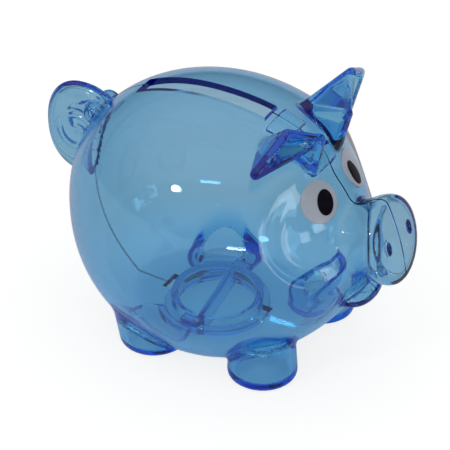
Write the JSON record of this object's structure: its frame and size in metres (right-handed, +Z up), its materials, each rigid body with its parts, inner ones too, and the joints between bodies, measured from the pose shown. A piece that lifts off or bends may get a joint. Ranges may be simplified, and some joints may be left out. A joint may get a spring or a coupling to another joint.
{
  "type": "piggy bank",
  "caption": "Clear plastic pig-shaped money box in two half shells, with a coin slot along its back and a round twist-off stopper in its belly.",
  "frame": {"origin": "on the ground under the middle of the bank, in its plane of symmetry", "axes": "+Z up, +Y towards the tail, nose towards -Y, +X towards the pig's left side"},
  "size_m": [0.079, 0.1196, 0.0857],
  "materials": {
    "shell": "polished, see-through blue",
    "stopper": "polished, see-through blue",
    "eye_white": "glossy pale grey film",
    "eye_pupil": "glossy black film"
  },
  "bodies": {
    "bank": {"half_shell_right": "shell", "half_shell_left": "shell", "eye_white_right": "eye_white", "eye_white_left": "eye_white", "eye_pupil_right": "eye_pupil", "eye_pupil_left": "eye_pupil"},
    "stopper": {"stopper": "stopper"}
  },
  "joints": [
    {"name": "stopper_twist", "type": "hinge", "parent": "bank", "child": "stopper", "pos_m": [0, 0.0015, 0.003], "axis": [0, 0, 1], "range_deg": [0, 90]}
  ]
}
